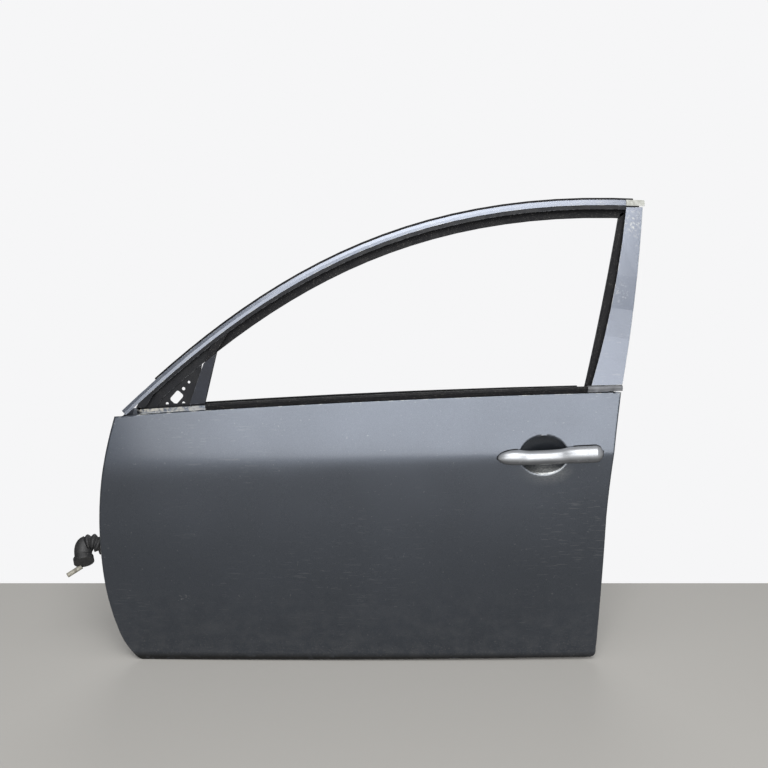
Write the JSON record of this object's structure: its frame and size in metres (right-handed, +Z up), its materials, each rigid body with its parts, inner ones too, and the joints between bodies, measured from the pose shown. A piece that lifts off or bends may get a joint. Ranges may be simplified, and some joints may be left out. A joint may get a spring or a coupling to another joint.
{
  "type": "car door shell",
  "caption": "Front door shell of a saloon car: painted skin and inner panel with window frame, pull handle, latch and wiring boot.",
  "frame": {"origin": "middle of the lower hinge's mounting face on the front wall of the inner panel", "axes": "+X from the door's front edge to its rear edge, +Y from the outside of the car to the inside, +Z up"},
  "size_m": [1.2986, 0.2133, 1.0617],
  "materials": {
    "grey_metallic_paint": "glossy metallic grey body paint",
    "black_painted_steel": "satin black",
    "black_rubber": "matt",
    "zinc_plated_steel": "zinc plated",
    "black_plastic": "fine grained",
    "silver_painted_plastic": "silver paint, satin",
    "grey_plastic": "pale grey"
  },
  "bodies": {
    "shell": {"outer_skin": "grey_metallic_paint", "inner_panel": "grey_metallic_paint", "header_frame": "black_painted_steel", "header_moulding": "grey_metallic_paint", "header_end_cap": "grey_plastic", "frame_weatherstrip": "black_rubber", "b_pillar_cover": "grey_metallic_paint", "division_bar": "grey_metallic_paint", "glass_run_channel": "black_rubber", "outer_waist_seal": "black_rubber", "waist_seal_end_cap": "black_plastic", "inner_waist_seal": "black_rubber", "outer_waist_reinforcement": "zinc_plated_steel", "mirror_bracket": "black_painted_steel", "hinge_reinforcement_lower": "zinc_plated_steel", "hinge_reinforcement_upper": "zinc_plated_steel", "impact_beam": "zinc_plated_steel", "beam_bracket_front": "zinc_plated_steel", "beam_bracket_rear": "zinc_plated_steel", "rear_guide_rail": "zinc_plated_steel", "handle_end_cap": "silver_painted_plastic", "handle_gasket_front": "black_rubber", "handle_gasket_rear": "black_rubber", "handle_carrier": "black_plastic", "latch_case": "black_plastic", "latch_plate": "zinc_plated_steel", "latch_screw_1": "zinc_plated_steel", "latch_screw_2": "zinc_plated_steel", "latch_screw_3": "zinc_plated_steel", "harness_boot": "black_rubber", "harness_plug": "grey_plastic"},
    "grip": {"handle_grip": "silver_painted_plastic"},
    "crank": {"bell_crank": "black_plastic"},
    "rod": {"release_rod": "zinc_plated_steel"},
    "release_lever": {"latch_lever": "zinc_plated_steel"},
    "claw": {"latch_claw": "zinc_plated_steel"}
  },
  "joints": [
    {"name": "handle_pull", "type": "hinge", "parent": "shell", "child": "grip", "pos_m": [0.849, -0.05573, 0.3455], "axis": [0, 0, -1], "range_deg": [0, 6.5], "stiffness_Nm_per_rad": 15, "springref_deg": -3.44},
    {"name": "crank_turn", "type": "hinge", "parent": "shell", "child": "crank", "pos_m": [1.051, -0.031, 0.37947], "axis": [-1, 0, 0], "range_deg": [-0.5, 48.5]},
    {"name": "rod_slide", "type": "slide", "parent": "shell", "child": "rod", "axis": [0, 0, -1], "range_m": [-0.0002, 0.0162]},
    {"name": "lever_turn", "type": "hinge", "parent": "shell", "child": "release_lever", "pos_m": [1.051, 0.005, 0.128], "axis": [1, 0, 0], "range_deg": [-0.5, 48.5]},
    {"name": "claw_turn", "type": "hinge", "parent": "shell", "child": "claw", "pos_m": [1.0715, -0.004, 0.1225], "axis": [-1, 0, 0], "range_deg": [0, 60], "stiffness_Nm_per_rad": 0.3, "springref_deg": -17.19}
  ],
  "couplings": [
    {"joint": "crank_turn", "follows": "handle_pull", "ratio": 7.3846},
    {"joint": "rod_slide", "follows": "handle_pull", "m_per_rad": 0.14128},
    {"joint": "lever_turn", "follows": "handle_pull", "ratio": 7.3846}
  ]
}
